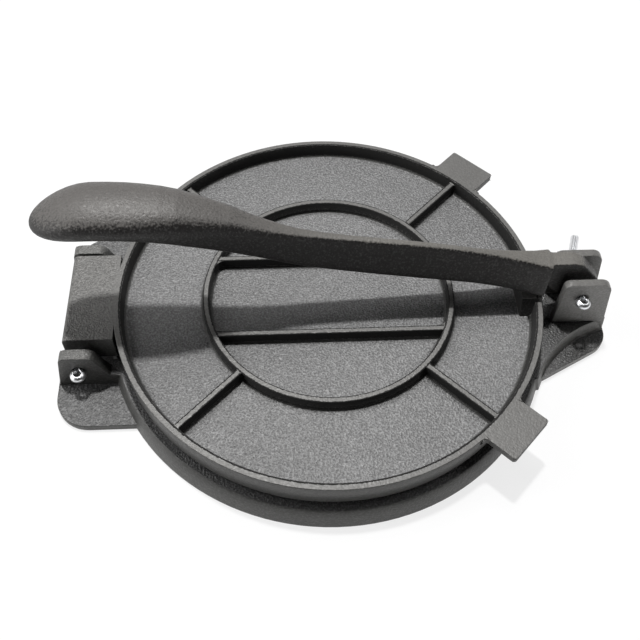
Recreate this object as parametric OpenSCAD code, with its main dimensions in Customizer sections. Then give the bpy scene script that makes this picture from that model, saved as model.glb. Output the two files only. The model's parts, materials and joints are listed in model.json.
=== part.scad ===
// Cast tortilla press. A round base carries a hinged round lid on its left and
// a lever on its right. The lever lies across the lid, and its heel bears on a
// boss at the lid's edge. Three split pins join the three castings.
// X runs from the hinge to the lever pin, Z is up, the table is at Z = 0 and
// the plates are centred on X = Y = 0. All sizes are in millimetres.

/* [Display] */
// Sub-part to show

/* [Plates] */
// Diameter of the lid over its rim
lid_d = 254; // [240:1:280]
// Height of the lid from its pressing face to its rim
lid_h = 18.2; // [16:0.2:22]
// Thickness of the lid's pressing plate inside the rim
lid_plate_t = 8.8; // [7:0.2:11]
// Width of the lid's rim at the top
rim_w = 4; // [3:0.5:6]
// Height of the base wall above the table
base_h = 14.5; // [12:0.5:18]
// Width of the ledge that the base shows around the lid
ledge_w = 3; // [2:0.5:6]
// How far the base wall flares out down to the table
base_flare = 3.5; // [1:0.5:5]
// Height of the round platen above the base ledge
platen_h = 2.2; // [1.5:0.1:4]

/* [Lid ribs] */
// Width of a rib along its top
rib_w = 3.5; // [2.5:0.5:5]
// How far the ribs stay below the rim
rib_drop = 2.2; // [1:0.2:4]
// Middle diameter of the ring rib
ring_d = 146.6; // [130:1:160]
// Clear width between the two straight ribs
rib_gap = 52; // [40:1:70]

/* [Lifting tabs] */
// Width of a tab
tab_w = 31.6; // [20:1:40]
// How far a tab stands out from the rim
tab_l = 18.5; // [12:0.5:25]
// Thickness of a tab
tab_t = 4.4; // [3:0.2:6]

/* [Hinge] */
// Width of the lid's hinge plate
plate_w = 61.6; // [50:1:70]
// Distance from the rim to the hinge pin
hinge_reach = 19; // [18:0.5:26]
// Height of the hinge pin above the table
hinge_z = 19.6; // [18:0.2:22]
// Thickness of a hinge lug
lug_t = 7; // [5:0.5:10]
// Height of the lugs above the table
lug_h = 32.3; // [30:0.1:36]
// Gap between a lug and the hinge plate
lug_gap = 4; // [2:0.5:6]
// Thickness of the pad under the hinge
pad_t = 5; // [4:0.5:8]

/* [Lever mount] */
// Distance from the rim to the lever pin
pivot_reach = 22.2; // [21:0.2:28]
// Height of the lever pin above the base ledge
pivot_h = 23.6; // [22:0.2:27]
// Clear width between the ears
ear_gap = 17.4; // [14:0.2:22]
// Thickness of an ear
ear_t = 5; // [4:0.5:8]
// Height of an ear above the lever pin
ear_top = 12.6; // [11:0.2:14]

/* [Lever] */
// Width of the eye between the ears
neck_w = 10; // [8:0.5:12]
// Radius of the eye around its pin
eye_r = 11.8; // [10:0.2:13]
// Height of the blade
lever_h = 21; // [17:0.2:25]
// Height of the grip's underside above the heel
lever_rise = 60.4; // [50:0.2:70]
// How far the grip reaches past the lid's rim
grip_over = 31.6; // [20:0.2:45]
// Half the width of the grip
grip_w = 18.5; // [14:0.5:22]
// Half the thickness of the grip
grip_t = 10.2; // [8:0.2:13]
// Length of the rounded end of the grip
grip_end = 32; // [20:1:45]

/* [Split pins] */
// Diameter of the pins
pin_d = 4.8; // [4:0.2:6]
// Length of the lever pin behind the rear ear
tail_l = 20; // [10:1:25]
// Length of a hinge pin's legs inside the hinge plate
leg_l = 6; // [4:0.5:10]
// Radial clearance between a pin and its holes
pin_fit = 0.08; // [0.02:0.01:0.1]

/* [Hidden] */
$fn = 96;
// flat faces of two castings that bear on each other
rest_gap = 0.3;
ledge_z = base_h;
face_z = base_h + platen_h + rest_gap;
rim_z = face_z + lid_h;
floor_z = face_z + lid_plate_t;
rib_z = rim_z - rib_drop;
lid_r = lid_d / 2;
lid_draft = 0.8;
floor_fillet = 2.5;
rib_draft = 0.5;
rib_root = 1.8;
ring_r = ring_d / 2;
corner_r = 7;
bore_r = pin_d / 2 + pin_fit;
sink_t = 1.3;
sink_r = 1.7;

ledge_r = lid_r + ledge_w;
foot_r = ledge_r + base_flare;
platen_r = lid_r - 5;
wall_t = 7;
hollow_h = 10;

hinge_x = -(lid_r + hinge_reach);
web_r = 8;
web_t = 8;
plate_t = 5.5;
lug_in = plate_w / 2 + lug_gap;
lug_out = lug_in + lug_t;
lug_r = 5;
deck_l = 8;
pad_x = hinge_x - 14.5;
pad_y = 70;
pad_r = 20;

pivot_x = lid_r + pivot_reach;
pivot_z = ledge_z + pivot_h;
ear_in = ear_gap / 2;
ear_out = ear_in + ear_t;
ear_front = pivot_x - 12.2;
ear_back = pivot_x + 21.8;
ear_lean = 6;
end_x = pivot_x + 22.8;

boss_h = 2.5;
boss_w = 24;
boss_foot = 33;
boss_l = 13;
heel_z = rim_z + boss_h + rest_gap;
shoulder_x = pivot_x - 20.6;
bend_r = 13;
bend = [pivot_x - 9.2, pivot_z + 8.9];

seat_w = 107;
seat_sweep_r = 75;
flange_w = 112;
flange_r = 16;

cast_iron = "#2e2c2a";
grip_iron = "#35302e";
zinc = "#c9cbcd";

// Stations of the lever's body from the shoulder to the end of the grip, as
// shares: [place along lever_l, underside along lever_rise, height in lever_h,
// half width at the top and at the bottom in grip_w, corner roundness].
lever_l = shoulder_x + lid_r + grip_over;
grip_h = 2 * grip_t / lever_h;
lever_body = [
  [0.000,  0.000,  1.062, 0.405, 0.649, 0.16],
  [0.017,  0.000,  1.105, 0.345, 0.649, 0.16],
  [0.055,  0.073,  0.981, 0.232, 0.605, 0.16],
  [0.138,  0.179,  0.924, 0.103, 0.540, 0.16],
  [0.221,  0.242,  0.995, 0.097, 0.500, 0.17],
  [0.317,  0.311,  1.033, 0.103, 0.465, 0.18],
  [0.441,  0.419,  1.010, 0.124, 0.443, 0.22],
  [0.517,  0.503,  1.000, 0.190, 0.454, 0.30],
  [0.586,  0.623,  1.019, 0.345, 0.508, 0.45],
  [0.655,  0.742,  1.143, 0.590, 0.649, 0.65],
  [0.724,  0.861,  1.143, 0.820, 0.832, 0.82],
  [0.800,  0.970,  0.995, 0.968, 0.968, 0.95],
  [0.886,  1.000, grip_h, 1.000, 1.000, 1.00],
  [1.000,  0.894, grip_h, 1.000, 1.000, 1.00]];

// ---- curves and small shapes shared by the castings ----

// smooth curve through one column of a station table, level at its peaks
function slope(t, c, i) = let (a = max(i - 1, 0), b = min(i + 1, len(t) - 1))
  a < i && i < b && (t[i][c] - t[a][c]) * (t[b][c] - t[i][c]) <= 0 ? 0
  : (t[b][c] - t[a][c]) / (t[b][0] - t[a][0]);
function station(t, s) = max([for (i = [0 : len(t) - 2]) if (s >= t[i][0] || i == 0) i]);
function along(t, c, s) = let (
    i = station(t, s), d = t[i + 1][0] - t[i][0], u = (s - t[i][0]) / d)
  t[i][c] * (1 + 2 * u) * pow(1 - u, 2) + t[i + 1][c] * u * u * (3 - 2 * u)
  + d * (slope(t, c, i) * u * pow(1 - u, 2) - slope(t, c, i + 1) * u * u * (1 - u));

function signed_pow(v, e) = v == 0 ? 0 : sign(v) * pow(abs(v), e);

// flat shape of two circles and the straight flanks that touch both
module link(a, ra, b, rb) {
  d = b - a;
  lean = atan2(d[1], d[0]);
  swing = acos((ra - rb) / norm(d));
  function at(c, r, t) = c + r * [cos(lean + t), sin(lean + t)];
  translate(a) circle(r = ra);
  translate(b) circle(r = rb);
  polygon([at(a, ra, swing), at(a, ra, -swing), at(b, rb, -swing), at(b, rb, swing)]);
}

// flat convex shape with a rounded corner [x, y, radius] at each place in order
module rounded(c) {
  for (i = [0 : len(c) - 1]) let (a = c[i], b = c[(i + 1) % len(c)])
    link([a[0], a[1]], a[2], [b[0], b[1]], b[2]);
  polygon([for (p = c) [p[0], p[1]]]);
}

// square corner piece left outside a circle of radius r, used to round or to fill
module corner(r) {
  difference() {
    translate([-0.01, -0.01]) square(r + 0.01);
    translate([r, r]) circle(r = r);
  }
}

// upright slab that stands across Y, from a profile drawn in X and Z
module slab(y, t) {
  translate([0, y + t, 0]) rotate([90, 0, 0]) linear_extrude(height = t) children();
}

// the same slab on both sides of the middle, its inner face at y
module slab_pair(y, t) {
  slab(y, t) children();
  slab(-y - t, t) children();
}

// cross-section of a rib that stands on a floor at Y = 0, with drafted sides and
// a hollow fillet at each foot
module rib_section(w, h) {
  foot = w / 2 + rib_draft;
  polygon([[-foot, -1], [-foot, 0], [-w / 2, h], [w / 2, h], [foot, 0], [foot, -1]]);
  for (s = [-1, 1]) difference() {
    polygon([[s * (foot - 0.2), -1], [s * (foot + rib_root), -1],
             [s * (foot + rib_root), 0], [s * (foot - 0.2), rib_root]]);
    translate([s * (foot + rib_root), rib_root]) circle(r = rib_root);
  }
}

// ---- base ----

module base_disc() {
  difference() {
    rotate_extrude($fn = 180) polygon([
      [0, 0], [foot_r, 0], [foot_r, 1.5], [ledge_r + 0.6, ledge_z - 1],
      [ledge_r - 0.4, ledge_z], [platen_r + 0.8, ledge_z],
      [platen_r, ledge_z + platen_h], [0, ledge_z + platen_h]]);
    base_hollow();
  }
}

// four hollows under the base, between its wall, its ring rib and its spokes
module base_hollow() {
  difference() {
    translate([0, 0, -1])
      cylinder(h = hollow_h + 1, r1 = foot_r - wall_t - 0.5, r2 = foot_r - wall_t - 2, $fn = 180);
    translate([0, 0, -2]) difference() {
      cylinder(h = hollow_h + 3, r = ring_r + 3, $fn = 120);
      translate([0, 0, -1]) cylinder(h = hollow_h + 5, r = ring_r - 3, $fn = 120);
    }
    for (a = [45, 135]) rotate(a)
      translate([-foot_r, -3, -2]) cube([2 * foot_r, 6, hollow_h + 3]);
  }
}

module hinge_pad() {
  x = pad_x + pad_r;
  y = pad_y - pad_r;
  linear_extrude(height = pad_t)
    rounded([[x, -y, pad_r], [-lid_r * 0.7, -pad_y + 1, 1], [-lid_r * 0.7, pad_y - 1, 1], [x, y, pad_r]]);
}

module lug_profile() {
  rounded([[pad_x + 1, 1.5, 1], [hinge_x + 22, 1.5, 1],
           [hinge_x + 5, lug_h - lug_r - 1, lug_r + 1], [hinge_x - lug_r, lug_h - lug_r, lug_r]]);
}

// level deck behind each lug, from the ledge out to the lug's flank
module hinge_deck() {
  x = hinge_x + 14;
  for (s = [-1, 1]) translate([x, s > 0 ? lug_out - lug_t - lug_gap : -lug_out, 0.5])
    cube([deck_l + hinge_reach, lug_t + lug_gap, ledge_z - 0.5]);
}

module lever_ears() {
  top = pivot_z + ear_top;
  slab_pair(ear_in, ear_t) rounded([
    [ear_front + 1, 1.5, 1], [ear_back - 0.5, 1.5, 1],
    [ear_back - ear_lean - 7, top - 7, 7], [ear_front + 3.5, top - 3.5, 3.5]]);
}

// raised seat of the ears: its outline sweeps in hollow curves from the ears
// into the round of the base, and its wall leans out to the flange
module ear_seat() {
  sweep_x = pivot_x + 39.6;
  sweep_y = ear_out + seat_sweep_r - 4.3;
  difference() {
    translate([lid_r * 0.8, -seat_w / 2, 0.5])
      cube([ear_back - lid_r * 0.8, seat_w, ledge_z - 0.5]);
    for (s = [-1, 1]) translate([sweep_x, s * sweep_y, 0])
      cylinder(h = ledge_z + 1, r1 = seat_sweep_r - 3.5, r2 = seat_sweep_r, $fn = 180);
  }
}

module ear_flange() {
  x = end_x - flange_r;
  y = flange_r - 1.5;
  linear_extrude(height = pad_t) rounded([
    [lid_r * 0.85, -flange_w / 2, 1], [x, -y, flange_r],
    [x, y, flange_r], [lid_r * 0.85, flange_w / 2, 1]]);
}

// hole of a split pin into the face at Y = 0, toward the middle from side s; its
// countersink takes the pin's eye
module pin_hole(s, l) {
  rotate([s * 90, 0, 0]) {
    translate([0, 0, -1]) cylinder(h = l + 1, r = bore_r);
    translate([0, 0, -0.1]) cylinder(h = sink_t + 0.1, r1 = bore_r + sink_r, r2 = bore_r);
  }
}

module base() {
  color(cast_iron) difference() {
    union() {
      base_disc();
      difference() {
        union() {
          hinge_pad();
          slab_pair(lug_in, lug_t) lug_profile();
          hinge_deck();
          ear_flange();
          ear_seat();
        }
        translate([0, 0, -1]) cylinder(h = lug_h + 10, r = foot_r - wall_t + 2, $fn = 180);
      }
      lever_ears();
    }
    // hinge pin holes and lever pin hole, countersunk on the outer faces
    for (s = [-1, 1]) translate([hinge_x, s * lug_out, hinge_z]) pin_hole(s, lug_t + 1);
    for (s = [-1, 1]) translate([pivot_x, s * ear_out, pivot_z]) pin_hole(s, ear_t + 1);
  }
}

// ---- lid ----

module lid_disc() {
  inner = lid_r - rim_w;
  rotate_extrude($fn = 180) difference() {
    polygon([[0, face_z], [lid_r - lid_draft - 1, face_z], [lid_r - lid_draft, face_z + 1],
             [lid_r, rim_z], [inner, rim_z], [inner - 0.8, floor_z + floor_fillet],
             [inner - 0.8, floor_z], [0, floor_z]]);
  }
  // fillet between the rim and the floor
  rotate_extrude($fn = 180) difference() {
    translate([inner - 0.8 - floor_fillet, floor_z - 0.5]) square([floor_fillet + 1, floor_fillet + 0.5]);
    translate([inner - 0.8 - floor_fillet, floor_z + floor_fillet]) circle(r = floor_fillet, $fn = 48);
  }
}

module lid_ribs() {
  rib_h = rib_z - floor_z;
  translate([0, 0, floor_z]) {
    rotate_extrude($fn = 120) translate([ring_r, 0]) rib_section(rib_w, rib_h);
    intersection() {
      for (s = [-1, 1]) translate([-ring_r, s * (rib_gap + rib_w) / 2, 0]) rotate([90, 0, 90])
        linear_extrude(height = 2 * ring_r) rib_section(rib_w, rib_h);
      translate([0, 0, -1]) cylinder(h = rib_h + 2, r = ring_r, $fn = 120);
    }
    intersection() {
      for (a = [45, 135, 225, 315]) rotate(a) translate([ring_r, 0, 0]) rotate([90, 0, 90])
        linear_extrude(height = lid_r - rim_w / 2 - ring_r) rib_section(rib_w, rib_h);
      translate([0, 0, -1]) cylinder(h = rib_h + 2, r = lid_r - rim_w / 2, $fn = 120);
    }
    for (sx = [-1, 1], sy = [-1, 1]) mirror([sx < 0 ? 1 : 0, 0]) mirror([0, sy < 0 ? 1 : 0])
      recess_corner(rib_h);
  }
}

// web that rounds a corner of the middle recess, between ring and straight rib
module recess_corner(h) {
  r = ring_r - rib_w / 2;
  y = rib_gap / 2 - corner_r;
  x = sqrt(pow(r - corner_r, 2) - y * y);
  touch = [x, y] * r / (r - corner_r);
  translate([0, 0, -1]) linear_extrude(height = h + 1) difference() {
    polygon([[x, y + corner_r - 0.1], [x, y + corner_r + 1], touch + [-1, 6], touch + [1, 0],
             touch + [-0.1, 0]]);
    translate([x, y]) circle(r = corner_r);
  }
}

module lifting_tab() {
  reach = lid_r + tab_l;
  translate([0, 0, rim_z - tab_t]) linear_extrude(height = tab_t) {
    rounded([[lid_r - rim_w / 2, 1 - tab_w / 2, 1], [reach - 2, 2 - tab_w / 2, 2],
             [reach - 2, tab_w / 2 - 2, 2], [lid_r - rim_w / 2, tab_w / 2 - 1, 1]]);
    // hollow fillets where the tab leaves the round rim
    for (s = [-1, 1]) translate([lid_r - 1.2, s * tab_w / 2]) mirror([0, s < 0 ? 1 : 0]) corner(3);
  }
}

// hinge plate: flat top, turned-down end wall, and two webs that carry the pins
module hinge_plate() {
  plate_end = hinge_x - web_r;
  inside_x = -lid_r + rim_w / 2;
  slab(-plate_w / 2, plate_w) difference() {
    polygon([[plate_end, rim_z], [inside_x, rim_z], [inside_x, rim_z - plate_t],
             [plate_end + 9, rim_z - plate_t], [plate_end + 5, rim_z - plate_t - 4],
             [plate_end + 5, hinge_z + 1], [plate_end, hinge_z + 1]]);
    translate([plate_end, rim_z]) mirror([0, 1]) corner(3);
  }
  slab_pair(plate_w / 2 - web_t, web_t) difference() {
    union() {
      translate([hinge_x, hinge_z]) circle(r = web_r);
      translate([plate_end, hinge_z]) square([web_r, rim_z - hinge_z]);
      polygon([[hinge_x, rim_z], [inside_x, rim_z], [inside_x, face_z],
               [-lid_r - 5, face_z], [hinge_x + web_r * cos(20), hinge_z + web_r * sin(-20)],
               [hinge_x, hinge_z - web_r + 0.1]]);
    }
    translate([plate_end, rim_z]) mirror([0, 1]) corner(3);
  }
}

// block at the lid's edge that takes the lever's heel, with drafted sides
module heel_boss() {
  h = rim_z + boss_h - floor_z;
  translate([lid_r - boss_l, 0, floor_z]) rotate([90, 0, 90]) linear_extrude(height = boss_l + 6)
    polygon([[-boss_foot / 2, -1], [-boss_foot / 2, 0], [-boss_w / 2, h],
             [boss_w / 2, h], [boss_foot / 2, 0], [boss_foot / 2, -1]]);
}

module lid() {
  color(cast_iron) difference() {
    union() {
      lid_disc();
      lid_ribs();
      for (a = [-45, 45]) rotate(a) lifting_tab();
      difference() {
        hinge_plate();
        translate([0, 0, floor_z]) cylinder(h = lid_h, r = lid_r - rim_w, $fn = 180);
      }
      intersection() {
        heel_boss();
        translate([0, 0, face_z]) cylinder(h = lid_h + 5, r = lid_r - 0.2, $fn = 180);
      }
    }
    translate([hinge_x, plate_w / 2 + 1, hinge_z]) rotate([90, 0, 0])
      cylinder(h = plate_w + 2, r = bore_r);
  }
}

// ---- lever ----

// point k of n on the section at distance s from the shoulder; the round end
// of the grip draws the section in
function lever_point(s, k, n) = let (
    into = max(0, s - lever_l + grip_end) / grip_end,
    fall = sqrt(max(0, 1 - into * into)),
    u = s / lever_l, e = along(lever_body, 5, u),
    half_h = lever_h * along(lever_body, 2, u) / 2,
    mid = heel_z + lever_rise * along(lever_body, 1, u) + half_h,
    top = grip_w * along(lever_body, 3, u), low = grip_w * along(lever_body, 4, u),
    t = 360 * (k + 0.5) / n, v = signed_pow(sin(t), e),
    half_w = low + (top - low) * pow((1 + v) / 2, 1.5))
  [shoulder_x - s - (s < 1 ? (1 - v) : 0),
   fall * half_w * signed_pow(cos(t), e),
   mid + fall * half_h * v];

module lever_blade() {
  n = 36;
  blade = lever_l - grip_end;
  steps = concat([for (i = [0 : 28]) blade * i / 28],
                 [for (i = [1 : 8]) blade + grip_end * sin(i * 10.8)]);
  m = len(steps);
  points = concat([for (s = steps) for (k = [0 : n - 1]) lever_point(s, k, n)],
                  [lever_point(lever_l, 0, n)]);
  polyhedron(points = points, faces = concat(
    [[for (k = [n - 1 : -1 : 0]) k]],
    [for (i = [0 : m - 2]) for (k = [0 : n - 1]) each [
      [i * n + k, (i + 1) * n + (k + 1) % n, (i + 1) * n + k],
      [i * n + k, i * n + (k + 1) % n, (i + 1) * n + (k + 1) % n]]],
    [for (k = [0 : n - 1]) [(m - 1) * n + k, (m - 1) * n + (k + 1) % n, m * n]]));
}

module lever_neck() {
  x = shoulder_x - neck_w / 2;
  z = heel_z + lever_h / 4;
  slab(-neck_w / 2, neck_w) {
    link(bend, bend_r, [pivot_x, pivot_z], eye_r);
    translate([x, z]) square([bend[0] - x, bend[1] + bend_r - z]);
  }
}

module lever() {
  color(grip_iron) difference() {
    union() {
      lever_blade();
      lever_neck();
    }
    translate([pivot_x, neck_w, pivot_z]) rotate([90, 0, 0])
      cylinder(h = 2 * neck_w, r = bore_r);
  }
}

// ---- split pins ----

// split pin along +Y into the face at Y = 0: the eye sits in the countersink, the
// shank fills the grip length, and beyond it the two half-round legs are spread
// apart or bent over together
module split_pin(grip, tail, spread, lean) {
  wire = pin_d / 4;
  eye = pin_d * 0.7;
  r = pin_d / 2;
  shank = grip + (lean > 0 ? 0.8 : 0);
  translate([0, -eye + sink_t / 3, 0]) rotate_extrude($fn = 48)
    translate([eye, 0]) circle(r = wire, $fn = 24);
  rotate([-90, 0, 0]) cylinder(h = shank, r = r);
  translate([0, shank, 0]) rotate(-lean) {
    sphere(r = r - 0.05);
    for (s = [-1, 1]) rotate(-s * spread) intersection() {
      translate([0, -0.4, 0]) rotate([-90, 0, 0]) cylinder(h = tail + 0.4, r = r - 0.05);
      translate([s > 0 ? 0.15 : -r - 1.15, -1, -r - 1]) cube([r + 1, tail + 2, 2 * r + 2]);
    }
  }
}

module lever_pin() {
  color(zinc) translate([pivot_x, -ear_out, pivot_z])
    split_pin(2 * ear_out, tail_l, 0, 19);
}

module hinge_pins() {
  grip = lug_t + lug_gap + web_t;
  color(zinc) for (s = [-1, 1]) translate([hinge_x, s * lug_out, hinge_z])
    rotate(s > 0 ? 180 : 0) split_pin(grip, leg_l, 5, 0);
}

base();
lid();
lever();
lever_pin();
hinge_pins();
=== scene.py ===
import json
import math

import bpy
from mathutils import Matrix, Vector


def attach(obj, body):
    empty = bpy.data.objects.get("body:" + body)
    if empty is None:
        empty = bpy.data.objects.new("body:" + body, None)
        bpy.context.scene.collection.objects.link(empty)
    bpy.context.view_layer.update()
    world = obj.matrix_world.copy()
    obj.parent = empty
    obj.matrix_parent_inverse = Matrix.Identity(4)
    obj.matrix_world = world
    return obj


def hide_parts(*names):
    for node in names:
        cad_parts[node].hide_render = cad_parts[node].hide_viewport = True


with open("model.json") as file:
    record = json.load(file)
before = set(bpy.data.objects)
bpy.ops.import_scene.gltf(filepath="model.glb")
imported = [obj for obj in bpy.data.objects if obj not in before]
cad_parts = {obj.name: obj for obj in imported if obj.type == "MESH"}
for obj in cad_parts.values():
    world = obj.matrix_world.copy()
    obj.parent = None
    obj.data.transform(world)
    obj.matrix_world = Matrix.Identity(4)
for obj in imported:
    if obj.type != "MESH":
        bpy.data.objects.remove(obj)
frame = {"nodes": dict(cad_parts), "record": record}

scene = bpy.context.scene
nodes = frame["nodes"]
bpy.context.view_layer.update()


# ---- Base casting ----
# A round iron plate with a flared wall, a pad and two lugs for the lid's hinge, and a
# seat with two ears for the lever. It is cast in sand, cleaned, and seasoned with oil,
# and it stands on the table with nothing under it.

def ease_edges(casting, width):
    """Rounds every sharp edge a little, as a sand mould and a wire brush leave it."""
    weld = casting.modifiers.new("join the faces", "WELD")
    weld.merge_threshold = 0.00001
    bevel = casting.modifiers.new("eased edges", "BEVEL")
    bevel.width = width
    bevel.segments = 2
    bevel.limit_method = "ANGLE"
    bevel.angle_limit = math.radians(55)
    bevel.use_clamp_overlap = False
    bevel.harden_normals = True


def adder(tree):
    """A helper for one node tree: adds a node with its settings, values and links."""
    def add(kind, links=(), **settings):
        node = tree.nodes.new(kind)
        for key, setting in settings.items():
            setattr(node, key, setting)
        for socket, source in dict(links).items():
            if isinstance(source, bpy.types.NodeSocket):
                tree.links.new(source, node.inputs[socket])
            else:
                node.inputs[socket].default_value = source
        return node

    return add


def shader_maths(add):
    """Two helpers for one shader's node tree: a Math node, and a Map Range node that takes
    a value from low to high onto start to end."""
    def maths(operation, *values):
        return add("ShaderNodeMath", enumerate(values), operation=operation).outputs[0]

    def scale(value, low, high, start=0.0, end=1.0):
        return add("ShaderNodeMapRange", {"Value": value, "From Min": low, "From Max": high,
                                          "To Min": start, "To Max": end}).outputs[0]

    return maths, scale


def finish_tree(name):
    """A new material, its node tree, its shader and its adder."""
    material = bpy.data.materials.new(name)
    material.use_nodes = True
    tree = material.node_tree
    return material, tree, tree.nodes["Principled BSDF"], adder(tree)


pit_and_shade_black = (0.002, 0.002, 0.002)
skin_tint = (1.0, 0.99, 0.97, 1.0)
rough_black = 0.9
sand_fade = 0.0006
grit_fade = 0.003
grain_relief = 0.0006
lump_relief = 0.0005
pit_relief = 0.0006

# painted shade along a rib or a rim, measured from its middle line
edge_line = 0.0021
edge_line_half = 0.0005
foot_shade_start = 0.0038
foot_shade_end = 0.0068
line_wander = 0.0010


def cast_iron(name, *, near, far, span, sand_top, roughness, index, peel, painted_sparkle_level,
              grit_end=-1.0, shade_radius=0.0, shade_lines=()):
    """Seasoned cast iron. Level faces below sand_top keep the grain of the sand mould and take
    the sand colour, and level faces before grit_end along X keep its grain. The rest is
    smoother, with a shallow orange peel. Faces that look up are paler than the walls: the top
    colour on raised faces, and mostly the sand colour on level ones, are painted light.
    Painted sparkles light spots of the grain. There are a few small pits. The side, top and
    sand colours change from near to far along X over the span. Painted shade blackens the
    walls within a radius, and the edges and the feet of the ribs along given lines; each
    line is a ring, a diagonal or a bar along X, with its middle and its reach in radius."""
    material, tree, shader, add = finish_tree(name)
    maths, scale = shader_maths(add)

    def between(share, low, high):
        return scale(share, 0.0, 1.0, low, high)

    def blend(share, one, other):
        ends = [(*end, 1) if isinstance(end, tuple) else end for end in (one, other)]
        return add("ShaderNodeMix", {"Factor": share, "A": ends[0], "B": ends[1]},
                   data_type="RGBA").outputs["Result"]

    def noise(size, detail, rough):
        return add("ShaderNodeTexNoise", {"Vector": place, "Scale": size, "Detail": detail,
                                          "Roughness": rough}).outputs["Fac"]

    where = add("ShaderNodeTexCoord")
    place = where.outputs["Object"]
    level = add("ShaderNodeSeparateXYZ", {0: where.outputs["Normal"]}).outputs["Z"]
    along, beside, height = add("ShaderNodeSeparateXYZ", {0: place}).outputs

    # where the skin is raised, level, sandy or only gritty
    raised = scale(height, sand_top, sand_top + sand_fade)
    flatness = scale(level, 0.8, 0.97)
    sandy = maths("MULTIPLY", flatness, between(raised, 1.0, 0.0))
    before_end = scale(along, grit_end - grit_fade, grit_end, 1.0, 0.0)
    gritty = maths("MAXIMUM", sandy, maths("MULTIPLY", flatness, before_end))

    # grain of the sand, lumps of the skin, clouds of old oil, and rare pits
    grain = noise(900.0, 1.0, 0.5)
    lumps = noise(600.0, 2.0, 0.5)
    clouds = noise(16.0, 3.0, 0.55)
    cells = add("ShaderNodeTexVoronoi", {"Vector": place, "Scale": 62.0, "Randomness": 1.0})
    chosen = add("ShaderNodeSeparateColor", {"Color": cells.outputs["Color"]}).outputs["Red"]
    rare = maths("GREATER_THAN", chosen, 0.93)
    pit = maths("MULTIPLY", rare, scale(cells.outputs["Distance"], 0.018, 0.03, 1.0, 0.0))

    # colours, speckled by the grain, with the top faces paler than the sides as painted light
    # and painted sparkles on the grain
    share = scale(along, *span)
    side, top, sand = [blend(share, *pair) for pair in zip(near, far)]
    # a painted highlight: faces that look up take the paler top colour
    facing_up = maths("MULTIPLY_ADD", grain, 0.55, level)
    painted_top_light = maths("MULTIPLY", raised, scale(facing_up, 0.92, 1.13))
    bare = blend(sandy, blend(painted_top_light, side, top), sand)
    speckle = add("ShaderNodeMix", {"Factor": between(gritty, 0.35, 1.0), "A": 1.0,
                                    "B": scale(grain, 0.3, 0.7, 0.6, 1.4)})
    tone = maths("MULTIPLY", speckle.outputs["Result"], scale(clouds, 0.3, 0.7, 0.92, 1.08))
    shade = add("ShaderNodeVectorMath", {0: bare, "Scale": tone}, operation="SCALE")
    # painted sparkles: bright spots of the grain added to the colour, kept off the painted top light
    sparkle_share = maths("MULTIPLY", between(sandy, painted_sparkle_level, 0.04), between(painted_top_light, 1.0, 0.0))
    painted_sparkle_spots = maths("MULTIPLY", scale(grain, 0.52, 0.68), sparkle_share)
    shade = add("ShaderNodeVectorMath", {0: shade.outputs[0], 1: painted_sparkle_spots}, operation="ADD")

    # painted shade, black, on the inner walls, along the ribs' top edges and around their feet
    dark = pit
    if shade_lines:
        flat = add("ShaderNodeVectorMath", {0: place, 1: (1.0, 1.0, 0.0)}, operation="MULTIPLY")
        radius = add("ShaderNodeVectorMath", {0: flat.outputs[0]}, operation="LENGTH").outputs["Value"]
        x_size, y_size = [maths("ABSOLUTE", value) for value in (along, beside)]
        slant = maths("ABSOLUTE", maths("SUBTRACT", x_size, y_size))
        ways = {"ring": radius, "diagonal": maths("MULTIPLY", slant, math.sqrt(0.5)), "bar": y_size}
        steep = maths("MULTIPLY_ADD", grain, 0.4, maths("ABSOLUTE", level))
        within = maths("LESS_THAN", radius, shade_radius)
        dark = maths("MULTIPLY", scale(steep, 0.55, 0.95, 1.0, 0.0), within)
        for way, middle, start, end in shade_lines:
            off = maths("ABSOLUTE", maths("SUBTRACT", ways[way], middle))
            off = maths("MULTIPLY_ADD", lumps, line_wander, off)
            edge_shade = maths("COMPARE", off, edge_line, edge_line_half)
            by_foot = scale(off, foot_shade_start, foot_shade_end, 1.0, 0.0)
            by_foot = maths("MULTIPLY", by_foot, by_foot)
            foot_shade = maths("MULTIPLY", by_foot, between(raised, 0.6, 0.0))
            reach = maths("COMPARE", radius, (start + end) / 2, (end - start) / 2)
            mark = maths("MULTIPLY", maths("MAXIMUM", edge_shade, foot_shade), reach)
            dark = maths("MAXIMUM", dark, mark)
        dark = maths("MAXIMUM", dark, pit)
    tree.links.new(blend(dark, shade.outputs[0], pit_and_shade_black), shader.inputs["Base Color"])
    skin_rough = scale(lumps, 0.3, 0.7, roughness - 0.05, roughness + 0.07)
    dull = maths("MAXIMUM", skin_rough, maths("MULTIPLY", dark, rough_black))
    tree.links.new(dull, shader.inputs["Roughness"])
    shader.inputs["IOR"].default_value = index
    shader.inputs["Specular Tint"].default_value = skin_tint

    # relief of the grain, the lumps and the pits
    fine = add("ShaderNodeBump", {"Height": grain, "Strength": between(gritty, 0.35, 1.0),
                                  "Distance": grain_relief})
    coarse = add("ShaderNodeBump", {"Height": lumps, "Strength": peel, "Distance": lump_relief,
                                    "Normal": fine.outputs["Normal"]})
    hole = add("ShaderNodeBump", {"Height": pit, "Strength": 0.8, "Distance": pit_relief,
                                  "Normal": coarse.outputs["Normal"]}, invert=True)
    tree.links.new(hole.outputs["Normal"], shader.inputs["Normal"])
    return material


def dress(node_name, material):
    """Gives a casting its finish."""
    mesh = nodes[node_name].data
    mesh.materials.clear()
    mesh.materials.append(material)


hinge_grit = -0.126

ease_edges(nodes["base"], 0.0005)
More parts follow.
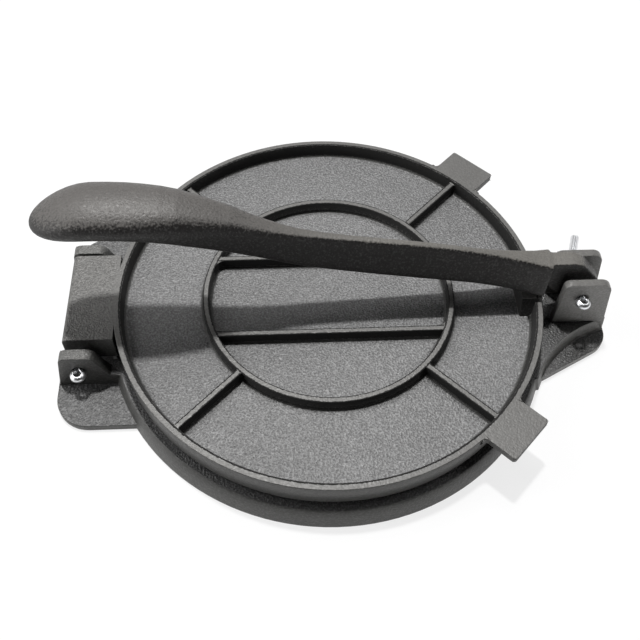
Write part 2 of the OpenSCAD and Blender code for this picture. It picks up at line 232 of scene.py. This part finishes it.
# past X = 0.115 the side colour turns paler and the sand colour darker: painted light on the ears'
# faces and painted shade on the flange by them
dress("base", cast_iron(
    "seasoned base iron",
    near=((0.038, 0.038, 0.036), (0.093, 0.092, 0.088), (0.068, 0.068, 0.069)),
    far=((0.200, 0.196, 0.188), (0.105, 0.102, 0.097), (0.010, 0.010, 0.010)),
    span=(0.115, 0.150), sand_top=0.018, roughness=0.46, index=1.6, peel=0.3, painted_sparkle_level=0.02,
    grit_end=hinge_grit))


# ---- Lid casting ----
# A round iron plate with a rim and ribs on its back, two tabs to lift it by, and a plate
# with two webs at the hinge. It is one sand casting with the base's seasoned finish, and
# it turns on two split pins.

lid_floor = 0.0258
lid_colours = ((0.035, 0.035, 0.033), (0.100, 0.098, 0.094), (0.122, 0.122, 0.123))
# lines of painted shade along the rim and the ribs
rim_shade_line = ("ring", 0.1252, 0.105, 0.125)
ring_rib_shade_line = ("ring", 0.0733, 0.06, 0.086)
short_ribs_shade_line = ("diagonal", 0.0, 0.0755, 0.122)
straight_ribs_shade_line = ("bar", 0.02775, 0.0, 0.071)

ease_edges(nodes["lid"], 0.0004)
dress("lid", cast_iron(
    "seasoned lid iron", near=lid_colours, far=lid_colours, span=(0.0, 0.1),
    sand_top=lid_floor + sand_fade, roughness=0.48, index=1.6, peel=0.25, painted_sparkle_level=0.02,
    grit_end=hinge_grit, shade_radius=0.125,
    shade_lines=(rim_shade_line, ring_rib_shade_line, short_ribs_shade_line, straight_ribs_shade_line)))


# ---- Lever casting ----
# A long iron lever, tall and narrow over the lid, that swells into a broad rounded grip.
# It is a sand casting with a coarser skin, rubbed smooth and a little brown on the grip,
# and it turns on one split pin.

def even_skin(casting, voxel, passes, share):
    """Turns the facets of a casting into one smooth skin with eased edges."""
    skin = casting.modifiers.new("even skin", "REMESH")
    skin.mode = "VOXEL"
    skin.voxel_size = voxel
    skin.use_smooth_shade = True
    smooth = casting.modifiers.new("moulded edges", "SMOOTH")
    smooth.factor = 0.5
    smooth.iterations = passes
    thin = casting.modifiers.new("fewer faces", "DECIMATE")
    thin.ratio = share


even_skin(nodes["lever"], voxel=0.0006, passes=16, share=0.9)
dress("lever", cast_iron(
    "seasoned lever iron",
    near=((0.006, 0.005, 0.005), (0.078, 0.073, 0.069), (0.012, 0.010, 0.009)),
    far=((0.006, 0.005, 0.005), (0.118, 0.112, 0.102), (0.012, 0.010, 0.009)),
    span=(-0.05, 0.02), sand_top=0.0, roughness=0.52, index=1.55, peel=0.5, painted_sparkle_level=0.03))


# ---- Split pins ----
# Three split pins of half-round steel wire, bent double so that the flats meet, with an
# eye at one end and two legs at the other. They are bright zinc plated, and hold by
# their spread or bent legs.

pin_d = 0.0048
eye_in = 0.00215
eye_gap_deg = 56
eye_steps = 40
half_slit = 0.00012
eye_drop = 0.0006
throat = 0.0008
bend_play = 0.0008
ear_out = 0.0137
lug_out = 0.0418


def pin_path(grip, tail, spread, lean):
    """The wire's inner edge from leg end to leg end: along +Y, with the eye below Y = 0."""
    bend = grip + (bend_play if lean else 0)

    def leg(side):
        turn = math.radians(lean + side * spread)
        across, down = math.sin(turn), math.cos(turn)
        slit = side * half_slit
        return [(slit * down + reach * across, bend - slit * across + reach * down)
                for reach in (tail, 0.0)]

    centre = -eye_in - half_slit - eye_drop
    round_eye = []
    for i in range(eye_steps + 1):
        turn = math.radians(90 - eye_gap_deg / 2 - (360 - eye_gap_deg) * i / eye_steps)
        round_eye.append((eye_in * math.cos(turn), centre + eye_in * math.sin(turn)))
    return leg(1) + [(half_slit, throat)] + round_eye + [(-half_slit, throat)] + leg(-1)[::-1]


def pin_nodes(finish):
    """Node group that sweeps half-round wire along a path and sets one at every place."""
    group = bpy.data.node_groups.new("split pin", "GeometryNodeTree")
    face = group.interface
    face.new_socket("Path", in_out="INPUT", socket_type="NodeSocketGeometry")
    places = face.new_socket("Places", in_out="INPUT", socket_type="NodeSocketObject")
    radius = face.new_socket("Wire Radius", in_out="INPUT", socket_type="NodeSocketFloat")
    face.new_socket("Pins", in_out="OUTPUT", socket_type="NodeSocketGeometry")

    add = adder(group)
    given = add("NodeGroupInput").outputs
    path = add("GeometryNodeMeshToCurve", {"Mesh": given["Path"]}).outputs[0]
    path = add("GeometryNodeSetCurveNormal", {"Curve": path}, mode="Z_UP").outputs[0]
    wire = add("GeometryNodeCurveArc",
               {"Resolution": 13, "Radius": given["Wire Radius"], "Start Angle": math.radians(90),
                "Sweep Angle": math.radians(180), "Connect Center": False}, mode="RADIUS").outputs[0]
    wire = add("GeometryNodeSetSplineCyclic", {"Geometry": wire, "Cyclic": True}).outputs[0]
    pin = add("GeometryNodeCurveToMesh",
              {"Curve": path, "Profile Curve": wire, "Fill Caps": True}).outputs[0]
    spots = add("GeometryNodeObjectInfo", {"Object": given["Places"]}).outputs["Geometry"]
    turn = add("GeometryNodeInputNamedAttribute", {"Name": "turn"},
               data_type="FLOAT_VECTOR").outputs["Attribute"]
    many = add("GeometryNodeInstanceOnPoints",
               {"Points": spots, "Instance": pin, "Rotation": turn}).outputs[0]
    real = add("GeometryNodeRealizeInstances", {"Geometry": many}).outputs[0]
    clad = add("GeometryNodeSetMaterial", {"Geometry": real, "Material": finish}).outputs[0]
    add("NodeGroupOutput", {"Pins": clad})
    return group, places.identifier, radius.identifier


def split_pins(name, path, places):
    """One plain mesh with a pin at each place (a point and a turn about Z)."""
    line = bpy.data.meshes.new(name + " path")
    line.from_pydata([(x, y, 0) for x, y in path], [(i, i + 1) for i in range(len(path) - 1)], [])
    maker = bpy.data.objects.new(name + " maker", line)
    dots = bpy.data.meshes.new(name + " places")
    dots.from_pydata([point for point, turn in places], [], [])
    turns = dots.attributes.new("turn", "FLOAT_VECTOR", "POINT")
    for item, (point, turn) in zip(turns.data, places):
        item.vector = (0, 0, math.radians(turn))
    spots = bpy.data.objects.new(name + " places", dots)
    for helper in (maker, spots):
        scene.collection.objects.link(helper)
    sweep = maker.modifiers.new("sweep the wire", "NODES")
    sweep.node_group, places_id, radius_id = pin_group
    sweep[places_id] = spots
    sweep[radius_id] = pin_d / 2
    swept = maker.evaluated_get(bpy.context.evaluated_depsgraph_get())
    mesh = bpy.data.meshes.new_from_object(swept)
    for helper in (maker, spots):
        bpy.data.objects.remove(helper)
    pins = bpy.data.objects.new(name, mesh)
    scene.collection.objects.link(pins)
    return pins


zinc_dark = (0.68, 0.69, 0.71)
zinc_bright = (0.92, 0.93, 0.94)


def zinc(name):
    """Bright zinc plate on drawn wire, a little uneven in tone and gloss."""
    material, tree, shader, add = finish_tree(name)
    place = add("ShaderNodeTexCoord").outputs["Object"]
    draw = add("ShaderNodeTexNoise", {"Vector": place, "Scale": 700.0, "Detail": 2.0}).outputs["Fac"]
    tone = add("ShaderNodeMix", {"Factor": draw, "A": (*zinc_dark, 1), "B": (*zinc_bright, 1)},
               data_type="RGBA").outputs["Result"]
    tree.links.new(tone, shader.inputs["Base Color"])
    shader.inputs["Metallic"].default_value = 1.0
    gloss = add("ShaderNodeMapRange", {"Value": draw, "To Min": 0.26, "To Max": 0.46}).outputs[0]
    tree.links.new(gloss, shader.inputs["Roughness"])
    return material


pin_group = pin_nodes(zinc("bright zinc plate"))
pivots = {joint["name"]: joint["pos_m"] for joint in frame["record"]["behaviour"]["joints"]}
lever_x, _, lever_z = pivots["lever_pivot"]
hinge_x, _, hinge_z = pivots["lid_hinge"]
for name, node, path, places in (
        ("lever_split_pin", "lever_pin", pin_path(grip=2 * ear_out, tail=0.020, spread=0, lean=19),
         [((lever_x, -ear_out, lever_z), 0)]),
        ("hinge_split_pins", "hinge_pins", pin_path(grip=0.019, tail=0.006, spread=5, lean=0),
         [((hinge_x, -lug_out, hinge_z), 0), ((hinge_x, lug_out, hinge_z), 180)])):
    pins = split_pins(name, path, places)
    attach(pins, "base")
    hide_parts(node)


# ---- Table top and light ----
# A plain white table that keeps the press's shadow. A small bright lamp hangs high behind
# the press and a broad soft one beyond it, with one at each side and a low one at the left.

table_mesh = bpy.data.meshes.new("table top")
table_edge = 2.5
corners = [(x * table_edge, y * table_edge, 0) for x, y in ((-1, -1), (1, -1), (1, 1), (-1, 1))]
table_mesh.from_pydata(corners, [], [(0, 1, 2, 3)])
table = bpy.data.objects.new("table top", table_mesh)
scene.collection.objects.link(table)
table_white, tree, shader, add = finish_tree("white table")
maths, scale = shader_maths(add)
tree.nodes.remove(shader)

# it glows white where it is seen or mirrored, and near the press a fifth of it stays matt
# and keeps the shadow
matt = add("ShaderNodeBsdfDiffuse", {"Color": (0.86, 0.86, 0.86, 1)})
glow = add("ShaderNodeEmission", {"Color": (1, 1, 1, 1), "Strength": 1.0})
rays = add("ShaderNodeLightPath").outputs
seen = rays["Is Camera Ray"]
for ray in ("Is Glossy Ray", "Is Transmission Ray"):
    seen = maths("MAXIMUM", seen, rays[ray])
place = add("ShaderNodeTexCoord").outputs["Object"]
away = add("ShaderNodeVectorMath", {0: place}, operation="LENGTH")
white_share = maths("MULTIPLY", seen, scale(away.outputs["Value"], 0.3, 0.8, 0.79, 1.0))
mix = add("ShaderNodeMixShader", {0: white_share, 1: matt.outputs[0], 2: glow.outputs[0]})
tree.links.new(mix.outputs[0], tree.nodes["Material Output"].inputs[0])
table_mesh.materials.append(table_white)

# the room is dim, but the camera sees it white, and so does what mirrors its back wall
world = bpy.data.worlds.new("studio")
world.use_nodes = True
scene.world = world
tree = world.node_tree
dim = tree.nodes["Background"]
dim.inputs["Color"].default_value = (1, 1, 1, 1)
dim.inputs["Strength"].default_value = 0.02

add = adder(tree)
maths, scale = shader_maths(add)
rays = add("ShaderNodeLightPath").outputs
way = add("ShaderNodeSeparateXYZ", {0: add("ShaderNodeTexCoord").outputs["Generated"]}).outputs
low = scale(way["Z"], 0.25, 0.45, 1.0, 0.0)
behind = scale(way["Y"], -0.1, 0.2)
backdrop = maths("MULTIPLY", low, behind)
mirrored = maths("MAXIMUM", rays["Is Glossy Ray"], rays["Is Transmission Ray"])
mirrored = maths("MULTIPLY", mirrored, backdrop)
seen = maths("MAXIMUM", rays["Is Camera Ray"], mirrored)
bright = add("ShaderNodeBackground", {"Color": (1, 1, 1, 1), "Strength": 1.0})
mix = add("ShaderNodeMixShader", {0: seen, 1: dim.outputs[0], 2: bright.outputs[0]})
tree.links.new(mix.outputs[0], tree.nodes["World Output"].inputs[0])


def lamp(name, place, size, watts):
    """A round lamp that faces the middle of the press."""
    light = bpy.data.lights.new(name, "AREA")
    light.shape = "DISK"
    light.size = size
    light.energy = watts
    holder = bpy.data.objects.new(name, light)
    holder.location = place
    holder.rotation_mode = "QUATERNION"
    holder.rotation_quaternion = Vector(place).to_track_quat("Z", "Y")
    scene.collection.objects.link(holder)


lamp("key lamp", (-0.15, 0.42, 1.85), size=0.12, watts=32)
lamp("top lamp", (0.0, 0.75, 1.53), size=0.6, watts=4.6)
lamp("left lamp", (-1.1, 0.3, 1.2), size=0.9, watts=7.5)
lamp("low lamp", (-1.35, -0.35, 0.45), size=0.8, watts=6)
lamp("right lamp", (1.1, 0.3, 1.2), size=0.9, watts=4)


# ---- Camera ----
# It stands in front of the press and well above it, a touch to the left, and leans a
# little to one side.

frame_px = 640
focal_px = 820.5
sensor_mm = 36.0
eye = Vector((-0.0285, -0.2916, 0.4273))
aim = Vector((0.0463, 0.5666, -0.8227)).normalized()
roll = math.radians(2.23)
across = aim.cross(Vector((0, 0, 1))).normalized()
up = across.cross(aim)
frame_right = across * math.cos(roll) + up * math.sin(roll)
frame_up = up * math.cos(roll) - across * math.sin(roll)
turned = Matrix((frame_right, frame_up, -aim)).transposed().to_4x4()
lens = bpy.data.cameras.new("camera")
lens.sensor_width = sensor_mm
lens.lens = focal_px / frame_px * sensor_mm
lens.clip_start = 0.01
camera = bpy.data.objects.new("camera", lens)
camera.matrix_world = Matrix.Translation(eye) @ turned
scene.collection.objects.link(camera)
scene.camera = camera
scene.view_settings.view_transform = "Standard"
